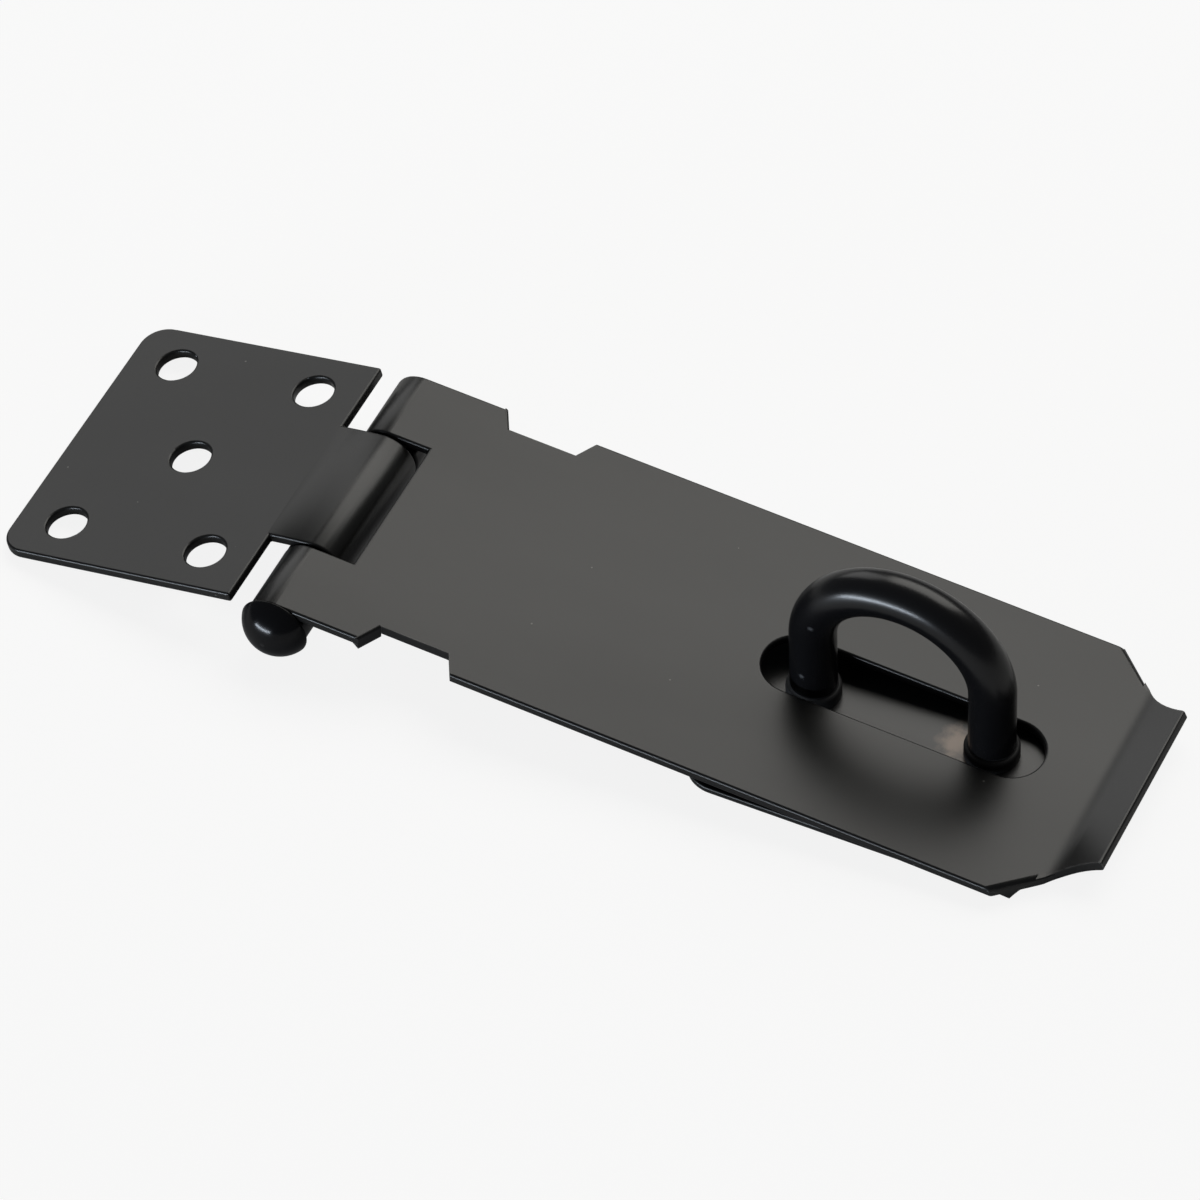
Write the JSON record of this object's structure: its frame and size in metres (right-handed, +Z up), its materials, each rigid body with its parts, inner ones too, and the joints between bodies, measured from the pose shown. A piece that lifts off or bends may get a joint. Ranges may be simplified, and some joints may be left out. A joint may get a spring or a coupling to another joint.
{
  "type": "hasp lock",
  "caption": "Black sheet-steel hasp with a rolled hinge, slotted strap and a round-bar staple on its own plate, lying closed.",
  "frame": {"origin": "middle of the staple plate's underside, on the surface it is fixed to", "axes": "+X from the hinge leaf towards the strap's free end, +Y along the hinge pin away from its domed head, +Z up from the surface"},
  "size_m": [0.1562, 0.0487, 0.0286],
  "materials": {
    "black_sheet": "satin black coat on sheet steel",
    "black_bar": "glossier black coat on round bar"
  },
  "bodies": {
    "fixed_side": {"hinge_leaf": "black_sheet", "staple_loop": "black_bar", "staple_plate": "black_sheet"},
    "strap_side": {"hasp_strap": "black_sheet", "hinge_pin": "black_bar"}
  },
  "joints": [
    {"name": "strap_swing", "type": "hinge", "parent": "fixed_side", "child": "strap_side", "pos_m": [-0.07995, 0, 0.00535], "axis": [0, -1, 0], "range_deg": [0, 112]}
  ]
}
